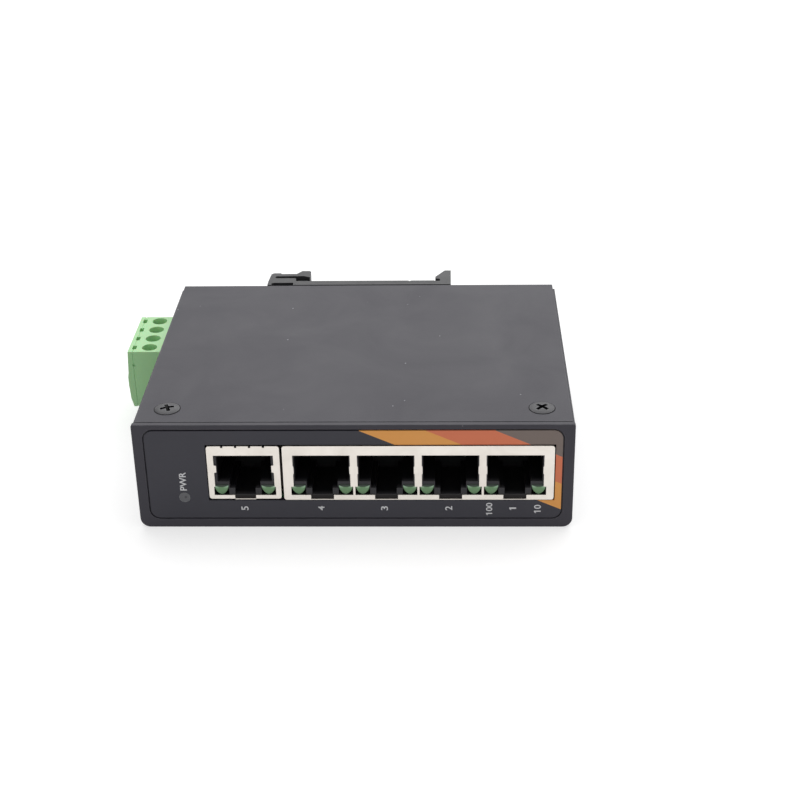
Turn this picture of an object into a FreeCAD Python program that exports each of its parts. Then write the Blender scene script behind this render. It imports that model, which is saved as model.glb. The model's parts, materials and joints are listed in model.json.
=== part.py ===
import FreeCAD, Part
import math
import os

from FreeCAD import Rotation, Vector

# Five-port network switch for a 35 mm rail, lying on its broad side. Millimetres.
# +X runs along the ports, +Y from the ports to the rail clip, +Z through the thickness.
# The origin is the middle of the flat underside of the case.

# ---- case ----
CASE_W = 95.2
CASE_D = 75.2
CASE_T = 25.6
SHEET = 1.0            # steel sheet of tray and lid
TRAY_BEND = 2.2        # outer bend radius along the tray's long bottom edges
LID_BEND = 0.7         # outer radius of the lid's tight bend to its back wall
LID_BEND_INSIDE = 0.2
LID_CORNER_R = 0.8     # rounding of the lid's back corners
LID_INSET = 0.6        # step from the tray's sides to the lid's edges
LID_GAP = 0.2          # seam between front panel and lid
LID_FLANGE = 5.0       # inward flange along the foot of the back wall
PANEL_T = 1.3
PANEL_TOP_R = 0.5

# ---- label in its recess on the front panel ----
LABEL_T = 0.5
LABEL_HALF_W = 45.0
LABEL_Z0 = 2.4
LABEL_Z1 = 24.15
LABEL_R = 2.0
LABEL_GAP = 0.3

# ---- tabs of the front panel: the upper two take the lid screws ----
TAB_W = 9.2
TAB_REACH = 10.7
TAB_CORNER = 1.8
COLLAR_R = 2.4         # extruded collar round a threaded hole
COLLAR_H = 1.5

# ---- M3 screws ----
SCREW_R = 1.45
THREAD_R = 1.5
HEAD_R = 2.75
HEAD_RIM = 0.2
HEAD_DOME = 0.35        # rise of the rounded head above its rim
HEAD_PROUD = 0.1        # rim above the sheet
CASE_SCREW_X = 40.8
FRONT_SCREW_BACK = 7.5  # from the front face
LID_SCREW_LEN = 5.0
CLIP_SCREW_LEN = 6.0
CROSS_ARM = 1.65
CROSS_TIP = 0.8
CROSS_W = 0.8
CROSS_DEPTH = 1.2

# ---- circuit board ----
BOARD_T = 1.6
BOARD_Z1 = 7.1
BOARD_HALF_W = 45.6
BOARD_FRONT_GAP = 0.7   # behind the front panel
BOARD_BACK_GAP = 2.0    # before the back wall
STANDOFFS = ((-41.0, -14.0), (41.5, 0.5), (-28.0, 26.0), (41.5, 26.0))
STANDOFF_HALF = 2.6     # half across the flats
HEX_HEAD_HALF = 2.75
HEX_HEAD_H = 2.0
LEAD_REACH = 1.0
LEAD_T = 0.25

# ---- network jacks ----
JACK_PROUD = 0.2        # shield face in front of the case
JACK_DEPTH = 21.3
JACK_TOP = 20.5
SHIELD_T = 0.3
PITCH = 13.97
SINGLE_X = -23.85
SINGLE_HALF_W = 7.9
SINGLE_Z0 = 7.4
QUAD_X = 13.97          # middle of the four ganged ports
QUAD_HALF_W = 29.35
QUAD_Z0 = 7.1
WINDOW_GAP = 0.3        # cut-out of the panel round the jacks
MOUTH_TOP = 18.2
MOUTH_FLOOR = 8.3
LAMP_SILL = 10.4        # top of the lamp windows
PLUG_HALF_W = 5.95
PLUG_FLOOR = 11.6
PLUG_CEIL = 18.1
PLUG_DEPTH = 12.2
LATCH_HALF_W = 3.4
LATCH_Z = 9.95
CATCH_HALF_W = 2.25
CATCH_Z = 8.4
CEILING_T = 1.1
CONTACT_W = 0.4
CONTACT_T = 0.35
CONTACT_PITCH = 1.02
CONTACT_COUNT = 8
LAMP_X = 5.15           # from the middle of the port
LAMP_W = 2.95
LAMP_TOP = 10.3
LAMP_BOTTOM = 8.5
LAMP_SHOULDER = 0.2     # straight flank below the flat top
LAMP_DEPTH = 1.4
LAMP_SETBACK = 0.1      # lens front behind the shield face
POCKET_HALF_W = 1.6
WINDOW_HALF_W = 6.75    # half width of the wide foot of a mouth, over both lamps
VENT_XS = (-4.5, -1.5, 1.5, 4.5)    # notches along the roof of the single shield
VENT_HALF_W = 0.25
ROOF_WINDOW_HALF_W = 4.2            # opening over the contacts
ROOF_WINDOW_FRONT = 3.4
BROW_DEPTH = 3.0        # thick front part of a jack's roof
BACK_CLEARANCE = 1.1    # between jack body and back of the shield
CONTACT_FRONT = 3.6     # where the contacts turn down into the cavity
CONTACT_DROP = 1.4
CONTACT_TIP_Z = 16.35
CONTACT_TIP_GAP = 1.0   # contact tip to the cavity's back

# ---- power lamp ----
PIPE_X = -37.3
PIPE_Z = 7.6
PIPE_R = 1.2

PIPE_FOOT_HALF_W = 1.6
PIPE_FOOT_DEPTH = 4.5
PIPE_FOOT_H = 2.3
LED_SIZE = (1.6, 0.8, 0.8)
LED_GAP = 0.2           # behind the foot of the pipe

# ---- parts on the board: middle x, y, then sizes ----
SWITCH_CHIP = (8.0, 10.0, 7.0, 7.0, 1.6)      # half width, half depth, height
REGULATOR = (-12.0, 14.0, 2.5, 2.0, 1.6)
MAGNETICS_Y = -9.5
MAGNETICS = (6.2, 3.2, 5.0)
INPUT_CAN = (-22.0, 21.5, 4.0, 11.5)          # radius, height
OUTPUT_CAN = (-13.0, 4.0, 3.15, 8.0)
CAN_RIM = 0.4
CRYSTAL = (23.0, 18.0, 3.5, 2.0, 3.4)         # half distance of its round ends, their radius, height
CHOKE = (-22.3, 12.7, 3.7, 4.5, 1.6)          # half width, height, corner
SURGE_DISC = (-29.5, 4.1, 3.8, 3.2)           # radius, thickness
DIODE = (-13.7, 25.8, 2.3, 1.8, 2.3, 0.3)     # half width, half depth, height, top edge

# ---- power header and its plug, 5.08 mm pitch ----
POLES = 4
POLE_PITCH = 5.08
POLE_MID_Y = 20.2
HEADER_W = 21.0
HEADER_H = 8.5
HEADER_DEPTH = 12.0
HEADER_WALL = 0.9
CAVITY_DEPTH = 8.4
PIN = 1.0
PIN_Z = 11.0
PLUG_Z0 = 5.05
PLUG_Z1 = 20.0
PLUG_GAP = 0.3          # plug body to case side
PLUG_FACE_X = -58.0
COVER_X = -56.3         # parting plane of housing and entry cover
NOSE_GAP = 0.25
CLAMP_X = -52.5
CHAMBER_HALF_L = 2.8
CHAMBER_HALF_W = 2.0
CHAMBER_Z0 = 7.1
CHAMBER_Z1 = 15.75
HEAD_BORE_R = 2.05
HEAD_BORE_Z1 = 17.75
TOP_HOLE_R = 1.85
ENTRY_HALF_W = 1.9
ENTRY_Z0 = 7.6
ENTRY_Z1 = 10.5
CAGE_HALF_L = 2.3
CAGE_HALF_W = 1.9
CAGE_Z0 = 7.2
CAGE_Z1 = 13.7
CAGE_FLOOR = 0.8
CAGE_ROOF = 1.2
CAGE_SIDE = 0.4
BAR_HALF_W = 1.3
BAR_T = 0.8
SOCKET = 2.2            # outer width of the spring socket
SOCKET_H = 1.9
SOCKET_BORE = 1.1

# ---- rail clip ----
CLIP_Z0 = 0.3
CLIP_Z1 = CASE_T
CLIP_BASE_T = 2.5
CLIP_SCREW_X = 8.0
CLIP_SLOT_R = 0.6
# Outline along X and outward from the back wall: fixed hook, notched base, spring loop with its hook.
CLIP_OUTLINE = (
    (21.2, 0), (21.2, 9.0), (19.6, 9.0), (17.2, 4.85), (17.2, 3.75), (18.4, 3.65), (18.4, 2.2), (17.2, 2.2),
    (16.9, CLIP_BASE_T), (11.05, CLIP_BASE_T), (10.6, CLIP_BASE_T - 0.35), (10.15, CLIP_BASE_T),
    (-18.7, CLIP_BASE_T), (-18.9, 4.1), (-19.2, 4.4), (-24.3, 4.4), (-24.3, 5.7), (-16.8, 5.7), (-15.3, 4.9),
    (-15.3, 8.7), (-15.7, 9.1), (-17.6, 9.1), (-18.9, 7.2), (-22.7, 7.2), (-23.2, 7.7), (-24.9, 7.7),
    (-25.5, 7.0), (-25.9, 2.0), (-25.5, 1.7), (-25.9, 1.3), (-25.9, 0.1), (-24.9, 0.1),
    (-24.9, 1.4), (-19.3, 1.4), (-19.3, 0))
CLIP_SLOT_ENDS = ((-24.3, 4.4), (-24.3, 5.7), (-24.9, 1.4))

# ---- derived ----
FRONT = -CASE_D / 2
BACK = CASE_D / 2
SIDE = CASE_W / 2
PANEL_BACK = FRONT + PANEL_T
LID_Z0 = CASE_T - SHEET
BOARD_Z0 = BOARD_Z1 - BOARD_T
BOARD_Y0 = PANEL_BACK + BOARD_FRONT_GAP
BOARD_Y1 = BACK - SHEET - BOARD_BACK_GAP
FRONT_SCREW_Y = FRONT + FRONT_SCREW_BACK
JACK_Y0 = FRONT - JACK_PROUD
JACK_Y1 = JACK_Y0 + JACK_DEPTH
QUAD_PORTS = tuple(QUAD_X + (i - 1.5) * PITCH for i in range(4))
POLE_Y = tuple(POLE_MID_Y + (i - 1.5) * POLE_PITCH for i in range(POLES))
PLUG_Y0 = POLE_MID_Y - POLES * POLE_PITCH / 2
PLUG_Y1 = POLE_MID_Y + POLES * POLE_PITCH / 2
PLUG_X1 = -SIDE - PLUG_GAP
LID_SCREWS = tuple((side * CASE_SCREW_X, FRONT_SCREW_Y, CASE_T + HEAD_PROUD) for side in (-1, 1))
CLIP_SCREWS = tuple((side * CLIP_SCREW_X, BACK + CLIP_BASE_T, CASE_T / 2) for side in (-1, 1))


def block(x0, x1, y0, y1, z0, z1):
    return Part.makeBox(x1 - x0, y1 - y0, z1 - z0, Vector(x0, y0, z0))


def rod(radius, start, end):
    """Round bar from one point to another."""
    run = Vector(*end) - Vector(*start)
    return Part.makeCylinder(radius, run.Length, Vector(*start), run)


def prism(points, run):
    """Flat outline of corner points, pushed along a vector."""
    corners = [Vector(*p) for p in points]
    return Part.Face(Part.makePolygon(corners + corners[:1])).extrude(Vector(*run))


def edges_where(shape, direction, test):
    """Straight edges along a direction whose middle passes a test."""
    way = Vector(*direction)
    found = []
    for edge in shape.Edges:
        run = edge.Vertexes[-1].Point - edge.Vertexes[0].Point
        if run.Length > 0 and abs(abs(run.dot(way)) - run.Length) < 1e-6 and test(edge.CenterOfMass):
            found.append(edge)
    return found


def rounded(shape, radius, direction, test=lambda middle: True):
    return shape.makeFillet(radius, edges_where(shape, direction, test))


def cut_all(shape, tools):
    return shape.cut(Part.makeCompound(tools))


def joined(shapes):
    """One solid from pieces that overlap or share faces."""
    return shapes[0].multiFuse(shapes[1:]).removeSplitter()


def seated(shape, position, up):
    """A screw or similar turned from +Z to a new direction and moved into place."""
    moved = shape.copy()
    moved.Placement = FreeCAD.Placement(Vector(*position), Rotation(Vector(0, 0, 1), Vector(*up)))
    return moved


# ---- screws ----

def cross_recess(turn):
    """Crossed driver recess whose arms taper with depth."""
    half = CROSS_W / 2
    side = [(-CROSS_ARM, HEAD_DOME), (CROSS_ARM, HEAD_DOME),
            (CROSS_TIP, -CROSS_DEPTH), (-CROSS_TIP, -CROSS_DEPTH)]
    arm = prism([(x, -half, z) for x, z in side], (0, CROSS_W, 0))
    other = prism([(-half, y, z) for y, z in side], (CROSS_W, 0, 0))
    recess = arm.fuse(other)
    recess.rotate(Vector(0, 0, 0), Vector(0, 0, 1), turn)
    return recess


def countersunk_solid(length, grow=0.0):
    """Countersunk screw blank with the top of its head's rim at the origin and its shank down -Z."""
    cone_h = HEAD_R - SCREW_R
    rim = Part.makeCylinder(HEAD_R + grow, HEAD_RIM, Vector(0, 0, -HEAD_RIM))
    cone = Part.makeCone(SCREW_R + grow, HEAD_R + grow, cone_h, Vector(0, 0, -HEAD_RIM - cone_h))
    shank = Part.makeCylinder(SCREW_R + grow, length - HEAD_RIM - cone_h, Vector(0, 0, -length))
    return joined([rim, cone, shank])


def countersunk_screw(length, turn):
    """Screw with a low domed head and a crossed recess."""
    ball_r = (HEAD_R ** 2 + HEAD_DOME ** 2) / (2 * HEAD_DOME)
    ball = Part.makeSphere(ball_r, Vector(0, 0, HEAD_DOME - ball_r))
    dome = ball.common(Part.makeCylinder(HEAD_R, HEAD_DOME + HEAD_RIM / 2, Vector(0, 0, -HEAD_RIM / 2)))
    return joined([countersunk_solid(length), dome]).cut(cross_recess(turn))


def hexagon(x, y, z, half):
    """Corner points of a hexagon, half across its flats."""
    corner = half / math.cos(math.pi / 6)
    turns = [i * math.pi / 3 for i in range(6)]
    return [(x + corner * math.cos(turn), y + corner * math.sin(turn), z) for turn in turns]


def hex_screw(x, y, z, length):
    head = prism(hexagon(x, y, z, HEX_HEAD_HALF), (0, 0, HEX_HEAD_H))
    return joined([head, rod(SCREW_R, (x, y, z), (x, y, z - length))])


def screw_group(places, length, up, turns):
    screws = [seated(countersunk_screw(length, turn), place, up) for place, turn in zip(places, turns)]
    return Part.makeCompound(screws)


def screw_sinks(places, length, up):
    """Countersinks and clearance holes for a group of screws."""
    return [seated(countersunk_solid(length, 0.05), place, up) for place in places]


# ---- case ----

def base_tray():
    """Bottom and both ends folded from one sheet, with an opening for the power header."""
    outer = block(-SIDE, SIDE, PANEL_BACK, BACK, 0, LID_Z0)
    outer = rounded(outer, TRAY_BEND, (0, 1, 0), lambda m: m.z < 1)
    inner = block(-SIDE + SHEET, SIDE - SHEET, FRONT, BACK + 1, SHEET, CASE_T)
    inner = rounded(inner, TRAY_BEND - SHEET, (0, 1, 0), lambda m: m.z < 2)
    back_wall_room = block(-SIDE - 1, SIDE + 1, BACK - SHEET, BACK + 1, SHEET, CASE_T)
    half_w = HEADER_W / 2 + 0.2
    header_room = block(-SIDE - 1, -SIDE + 2, POLE_MID_Y - half_w, POLE_MID_Y + half_w,
                        BOARD_Z1 - 0.3, BOARD_Z1 + HEADER_H + 0.3)
    return cut_all(outer, [inner, back_wall_room, header_room])


def lid():
    """Top, back wall and a short inward flange folded from one sheet."""
    half_w = SIDE - LID_INSET
    outer = block(-half_w, half_w, PANEL_BACK + LID_GAP, BACK, SHEET, CASE_T)
    outer = rounded(outer, LID_BEND, (1, 0, 0), lambda m: m.y > 0)
    inner = block(-SIDE, SIDE, FRONT, BACK - SHEET, 2 * SHEET, LID_Z0)
    inner = rounded(inner, LID_BEND_INSIDE, (1, 0, 0), lambda m: m.y > 0)
    plan = block(-half_w, half_w, FRONT, BACK, 0, CASE_T)
    outer = outer.common(rounded(plan, LID_CORNER_R, (0, 0, 1), lambda m: m.y > 0))
    open_bottom = block(-SIDE, SIDE, FRONT, BACK - LID_FLANGE, 0, 3 * SHEET)
    clear_of_tray = []
    for half_gap, z1 in ((SIDE - SHEET, LID_Z0), (SIDE - TRAY_BEND - 0.6, 3 * SHEET)):
        clear_of_tray.append(block(-SIDE, -half_gap, FRONT, BACK - SHEET, 0, z1))
        clear_of_tray.append(block(half_gap, SIDE, FRONT, BACK - SHEET, 0, z1))
    sheet = cut_all(outer, [inner, open_bottom] + clear_of_tray)
    collars = [rod(COLLAR_R, (side * CLIP_SCREW_X, BACK - SHEET - COLLAR_H, CASE_T / 2),
                   (side * CLIP_SCREW_X, BACK - SHEET / 2, CASE_T / 2)) for side in (-1, 1)]
    holes = screw_sinks(LID_SCREWS, LID_SCREW_LEN, (0, 0, 1))
    holes += [rod(THREAD_R, (side * CLIP_SCREW_X, BACK - 6, CASE_T / 2),
                  (side * CLIP_SCREW_X, BACK + 1, CASE_T / 2)) for side in (-1, 1)]
    return cut_all(joined([sheet] + collars), holes)


def jack_window(y0, y1, gap):
    """Common opening of panel and label round both jacks."""
    x0 = SINGLE_X - SINGLE_HALF_W - gap
    x1 = QUAD_X + QUAD_HALF_W + gap
    return block(x0, x1, y0, y1, QUAD_Z0 - gap, JACK_TOP + gap)


def front_panel():
    """Front plate with a recess for the label, two threaded tabs above and two welding tabs below."""
    plate = block(-SIDE, SIDE, FRONT, PANEL_BACK, 0, CASE_T)
    plate = rounded(plate, TRAY_BEND, (0, 1, 0), lambda m: m.z < 1)
    plate = rounded(plate, PANEL_TOP_R, (0, 1, 0), lambda m: m.z > CASE_T - 1)
    edge = LABEL_HALF_W + LABEL_GAP
    recess = block(-edge, edge, FRONT - 1, FRONT + LABEL_T, LABEL_Z0 - LABEL_GAP, LABEL_Z1 + LABEL_GAP)
    recess = rounded(recess, LABEL_R + LABEL_GAP, (0, 1, 0))
    plate = cut_all(plate, [recess, jack_window(FRONT - 1, PANEL_BACK + 1, WINDOW_GAP),
                            rod(PIPE_R + 0.1, (PIPE_X, FRONT - 1, PIPE_Z), (PIPE_X, PANEL_BACK + 1, PIPE_Z))])
    pieces = [plate]
    holes = screw_sinks(LID_SCREWS, LID_SCREW_LEN, (0, 0, 1))
    for side in (-1, 1):
        x = side * CASE_SCREW_X
        half = TAB_W / 2
        y1 = PANEL_BACK + TAB_REACH
        corners = [(x - half, PANEL_BACK - 0.2), (x + half, PANEL_BACK - 0.2), (x + half, y1 - TAB_CORNER),
                   (x + half - TAB_CORNER, y1), (x - half + TAB_CORNER, y1), (x - half, y1 - TAB_CORNER)]
        for z0 in (LID_Z0 - PANEL_T, SHEET):
            pieces.append(prism([(cx, cy, z0) for cx, cy in corners], (0, 0, PANEL_T)))
        collar_foot = (x, FRONT_SCREW_Y, LID_Z0 - PANEL_T - COLLAR_H)
        pieces.append(rod(COLLAR_R, collar_foot, (x, FRONT_SCREW_Y, LID_Z0 - PANEL_T / 2)))
        holes.append(rod(THREAD_R, (x, FRONT_SCREW_Y, LID_Z0 - 9), (x, FRONT_SCREW_Y, LID_Z0 + 0.5)))
    return cut_all(joined(pieces), holes)


def front_label():
    """Thin printed sheet that fills the recess of the front panel."""
    sheet = block(-LABEL_HALF_W, LABEL_HALF_W, FRONT, FRONT + LABEL_T, LABEL_Z0, LABEL_Z1)
    sheet = rounded(sheet, LABEL_R, (0, 1, 0))
    return cut_all(sheet, [jack_window(FRONT - 1, FRONT + 1, WINDOW_GAP - 0.05),
                           rod(PIPE_R + 0.05, (PIPE_X, FRONT - 1, PIPE_Z), (PIPE_X, FRONT + 1, PIPE_Z))])


# ---- network jacks ----

def mouth(x, half_w, bulge, bulge_z0, bulge_z1, slot_half_w, slot_z0):
    """Opening of a shield face: plug mouth, side springs, lamp windows and a latch slot open below."""
    y0, y1 = JACK_Y0 - 1, JACK_Y0 + SHIELD_T + 0.01
    upper = [(half_w, LAMP_SILL), (half_w, bulge_z0), (half_w - bulge, bulge_z0 + 0.15),
             (half_w - bulge, bulge_z1 - 0.15), (half_w, bulge_z1), (half_w, MOUTH_TOP)]
    right = [(WINDOW_HALF_W, MOUTH_FLOOR), (WINDOW_HALF_W, LAMP_SILL)] + upper
    outline = [(x + dx, y0, z) for dx, z in right] + [(x - dx, y0, z) for dx, z in reversed(right)]
    slot = block(x - slot_half_w, x + slot_half_w, y0, y1, slot_z0, MOUTH_FLOOR + 0.1)
    return prism(outline, (0, y1 - y0, 0)).fuse(slot)


def shield_shell(x, half_w, z0):
    """Folded tin box, open below, that wraps a jack."""
    outer = block(x - half_w, x + half_w, JACK_Y0, JACK_Y1, z0, JACK_TOP)
    outer = rounded(outer, 0.6, (0, 1, 0))
    t = SHIELD_T
    inner = block(x - half_w + t, x + half_w - t, JACK_Y0 + t, JACK_Y1 - t, z0, JACK_TOP - t)
    floor = block(x - half_w - 1, x + half_w + 1, JACK_Y0 + t, JACK_Y1 + 1, z0 - 1, z0 + t)
    return cut_all(outer, [inner, floor])


def single_jack_shield():
    shell = shield_shell(SINGLE_X, SINGLE_HALF_W, SINGLE_Z0)
    tools = [mouth(SINGLE_X, 6.5, 0.5, 13.9, 15.8, 2.3, SINGLE_Z0 - 1)]
    for dx in VENT_XS:
        x = SINGLE_X + dx
        tools.append(block(x - VENT_HALF_W, x + VENT_HALF_W, JACK_Y0 - 1, JACK_Y0 + BROW_DEPTH,
                           JACK_TOP - 0.4, JACK_TOP + 1))
    return cut_all(shell, tools)


def quad_jack_shield():
    shell = shield_shell(QUAD_X, QUAD_HALF_W, QUAD_Z0)
    return cut_all(shell, [mouth(x, 6.2, 0.15, 13.5, 15.5, 2.5, QUAD_Z0 - 1) for x in QUAD_PORTS])


def port_cuts(x):
    """Plug cavity, latch channel, contact window and lamp pockets of one port."""
    y0 = JACK_Y0 + SHIELD_T - 1
    back = JACK_Y0 + PLUG_DEPTH
    cuts = [block(x - PLUG_HALF_W, x + PLUG_HALF_W, y0, back, PLUG_FLOOR, PLUG_CEIL),
            block(x - LATCH_HALF_W, x + LATCH_HALF_W, y0, back, LATCH_Z, PLUG_FLOOR + 0.1),
            block(x - CATCH_HALF_W, x + CATCH_HALF_W, y0, back, CATCH_Z, LATCH_Z + 0.1),
            block(x - ROOF_WINDOW_HALF_W, x + ROOF_WINDOW_HALF_W, JACK_Y0 + ROOF_WINDOW_FRONT, back,
                  PLUG_CEIL - 0.1, JACK_TOP)]
    for side in (-1, 1):
        middle = x + side * LAMP_X
        cuts.append(block(middle - POCKET_HALF_W, middle + POCKET_HALF_W, y0, y0 + 1 + LAMP_DEPTH,
                          LAMP_BOTTOM - 0.2, LAMP_SILL))
    return cuts


def jack_body(x, half_w, ports):
    """Moulded block behind a shield face, with one cavity a port."""
    t = SHIELD_T
    top = PLUG_CEIL + CEILING_T
    body = block(x - half_w + t, x + half_w - t, JACK_Y0 + t, JACK_Y1 - t - BACK_CLEARANCE, BOARD_Z1, top)
    brow = block(x - half_w + t, x + half_w - t, JACK_Y0 + t, JACK_Y0 + BROW_DEPTH, top - 0.1, JACK_TOP - t)
    cuts = []
    for port in ports:
        cuts += port_cuts(port)
    board_room = block(x - half_w, x + half_w, FRONT - 1, BOARD_Y0 - 0.1, 0, MOUTH_FLOOR - 0.9)
    return cut_all(joined([body, brow]), cuts + [board_room])


def contact_set(ports):
    """Bent spring contacts: foot on the board, up the back, forward, and sloping into the cavity."""
    t = CONTACT_T
    top = PLUG_CEIL + CEILING_T
    back = JACK_Y1 - SHIELD_T - BACK_CLEARANCE
    fore = JACK_Y0 + CONTACT_FRONT
    low = top - CONTACT_DROP
    tip = JACK_Y0 + PLUG_DEPTH - CONTACT_TIP_GAP
    path = [(back, BOARD_Z1), (back + t, BOARD_Z1), (back + t, top + t), (fore, top + t),
            (fore, low), (tip, CONTACT_TIP_Z), (tip, CONTACT_TIP_Z + t),
            (fore + t, low + t + 0.1), (fore + t, top), (back, top)]
    contacts = []
    for x in ports:
        for i in range(CONTACT_COUNT):
            x0 = x + (i - (CONTACT_COUNT - 1) / 2) * CONTACT_PITCH - CONTACT_W / 2
            contacts.append(prism([(x0, y, z) for y, z in path], (CONTACT_W, 0, 0)))
    return Part.makeCompound(contacts)


def lamp_set(ports):
    """Bowl-shaped lamp lenses, flat above and round below."""
    lamps = []
    half = LAMP_W / 2
    y0 = JACK_Y0 + LAMP_SETBACK
    shoulder = LAMP_TOP - LAMP_SHOULDER
    for x in ports:
        for side in (-1, 1):
            middle = x + side * LAMP_X
            left = Vector(middle - half, y0, LAMP_TOP)
            right = Vector(middle + half, y0, LAMP_TOP)
            arc = Part.Arc(Vector(middle - half, y0, shoulder), Vector(middle, y0, LAMP_BOTTOM),
                           Vector(middle + half, y0, shoulder)).toShape()
            sides = [Part.makeLine(right, left), Part.makeLine(left, arc.Vertexes[0].Point),
                     arc, Part.makeLine(arc.Vertexes[1].Point, right)]
            lamps.append(Part.Face(Part.Wire(sides)).extrude(Vector(0, LAMP_DEPTH + 0.2, 0)))
    return Part.makeCompound(lamps)


# ---- power lamp ----

def power_light_pipe():
    """Clear pipe from the board's edge to the front face."""
    nose = rod(PIPE_R, (PIPE_X, FRONT, PIPE_Z), (PIPE_X, BOARD_Y0, PIPE_Z))
    y0 = BOARD_Y0 - 0.5
    foot = block(PIPE_X - PIPE_FOOT_HALF_W, PIPE_X + PIPE_FOOT_HALF_W, y0, y0 + PIPE_FOOT_DEPTH,
                 BOARD_Z1, BOARD_Z1 + PIPE_FOOT_H)
    return joined([nose, foot])


def power_led():
    width, depth, height = LED_SIZE
    y0 = BOARD_Y0 - 0.5 + PIPE_FOOT_DEPTH + LED_GAP
    return block(PIPE_X - width / 2, PIPE_X + width / 2, y0, y0 + depth, BOARD_Z1, BOARD_Z1 + height)


# ---- board and what stands on it ----

def circuit_board():
    board = block(-BOARD_HALF_W, BOARD_HALF_W, BOARD_Y0, BOARD_Y1, BOARD_Z0, BOARD_Z1)
    holes = [rod(1.6, (x, y, 0), (x, y, 9)) for x, y in STANDOFFS]
    leg_x = -SIDE + HEADER_DEPTH
    holes += [block(leg_x - 0.1, leg_x + PIN + 0.1, y - 0.6, y + 0.6, 0, 9) for y in POLE_Y]
    return cut_all(board, holes)


def board_standoffs():
    """Hexagonal posts on the tray, threaded for the board screws."""
    posts = []
    for x, y in STANDOFFS:
        post = prism(hexagon(x, y, SHEET, STANDOFF_HALF), (0, 0, BOARD_Z0 - SHEET))
        posts.append(post.cut(rod(THREAD_R, (x, y, SHEET + 0.5), (x, y, BOARD_Z0 + 1))))
    return Part.makeCompound(posts)


def board_screws():
    return Part.makeCompound([hex_screw(x, y, BOARD_Z1, 5.0) for x, y in STANDOFFS])


def chip(x, y, half_w, half_d, height, leads_x, leads_y, pitch):
    """Moulded package with flat leads along two or four sides."""
    z0 = BOARD_Z1
    pieces = [block(x - half_w, x + half_w, y - half_d, y + half_d, z0, z0 + height)]
    w = pitch / 4
    for side in (-1, 1):
        for i in range(leads_x):
            lead_x = x + (i - (leads_x - 1) / 2) * pitch
            root = y + side * half_d
            ends = sorted((root, root + side * LEAD_REACH))
            pieces.append(block(lead_x - w, lead_x + w, *ends, z0, z0 + LEAD_T))
        for i in range(leads_y):
            lead_y = y + (i - (leads_y - 1) / 2) * pitch
            root = x + side * half_w
            ends = sorted((root, root + side * LEAD_REACH))
            pieces.append(block(*ends, lead_y - w, lead_y + w, z0, z0 + LEAD_T))
    return joined(pieces)


def can(x, y, radius, height):
    """Radial capacitor: a can with a rolled rim."""
    half = [(0, 0), (radius, 0), (radius, height - CAN_RIM), (radius - CAN_RIM, height), (0, height)]
    face = Part.Face(Part.makePolygon([Vector(r, 0, h) for r, h in half + half[:1]]))
    solid = face.revolve(Vector(0, 0, 0), Vector(0, 0, 1), 360)
    solid.translate(Vector(x, y, BOARD_Z1))
    return solid


def crystal():
    """Flat metal can with round ends."""
    x, y, half_l, radius, height = CRYSTAL
    z0, z1 = BOARD_Z1, BOARD_Z1 + height
    middle = block(x - half_l, x + half_l, y - radius, y + radius, z0, z1)
    ends = [rod(radius, (end, y, z0), (end, y, z1)) for end in (x - half_l, x + half_l)]
    return joined([middle] + ends)


def choke():
    """Square shielded coil with cut corners."""
    x, y, half, height, corner = CHOKE
    body = block(x - half, x + half, y - half, y + half, BOARD_Z1, BOARD_Z1 + height)
    return body.makeChamfer(corner, edges_where(body, (0, 0, 1), lambda middle: True))


def surge_disc():
    x, y, radius, thickness = SURGE_DISC
    z = BOARD_Z1 + radius
    return rod(radius, (x, y - thickness / 2, z), (x, y + thickness / 2, z))


def input_diode():
    x, y, half_w, half_d, height, edge_cut = DIODE
    top = BOARD_Z1 + height
    body = block(x - half_w, x + half_w, y - half_d, y + half_d, BOARD_Z1, top)
    return body.makeChamfer(edge_cut, [edge for edge in body.Edges if abs(edge.CenterOfMass.z - top) < 1e-6])


# ---- power header ----

def power_header():
    """Open-fronted socket for the plug, with keyways in its roof."""
    x0, x1 = -SIDE, -SIDE + HEADER_DEPTH
    y0, y1 = POLE_MID_Y - HEADER_W / 2, POLE_MID_Y + HEADER_W / 2
    z1 = BOARD_Z1 + HEADER_H
    wall = HEADER_WALL
    body = block(x0, x1, y0, y1, BOARD_Z1, z1)
    cuts = [block(x0 - 1, x0 + CAVITY_DEPTH, y0 + wall, y1 - wall, BOARD_Z1 + wall, z1 - wall)]
    for y in POLE_Y:
        cuts.append(block(x0 - 1, x0 + CAVITY_DEPTH - 1, y - 1.1, y + 1.1, z1 - wall - 0.1, z1 - wall + 0.45))
        cuts.append(block(x0, x1 + 1, y - PIN / 2, y + PIN / 2, PIN_Z - PIN / 2, PIN_Z + PIN / 2))
    return cut_all(body, cuts)


def header_pins():
    """Bent square pins from the cavity to below the board."""
    tip = -SIDE + 2.2
    leg = -SIDE + HEADER_DEPTH
    low, high = PIN_Z - PIN / 2, PIN_Z + PIN / 2
    foot = BOARD_Z0 - 1.6
    side = [(tip, low + 0.25), (tip + 0.5, low), (leg, low), (leg, foot),
            (leg + PIN, foot), (leg + PIN, high), (tip + 0.5, high), (tip, high - 0.25)]
    return Part.makeCompound([prism([(x, y - PIN / 2, z) for x, z in side], (0, PIN, 0)) for y in POLE_Y])


# ---- plug ----

def tapered_hole(x0, x1, y, half_w0, half_w1, z0, z1, flare):
    """Rectangular funnel that narrows from x0 to x1."""
    def ring(x, half_w, low, high):
        points = [Vector(x, y - half_w, low), Vector(x, y + half_w, low),
                  Vector(x, y + half_w, high), Vector(x, y - half_w, high)]
        return Part.makePolygon(points + points[:1])
    return Part.makeLoft([ring(x0, half_w0, z0 - flare, z1 + flare), ring(x1, half_w1, z0, z1)], True)


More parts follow.
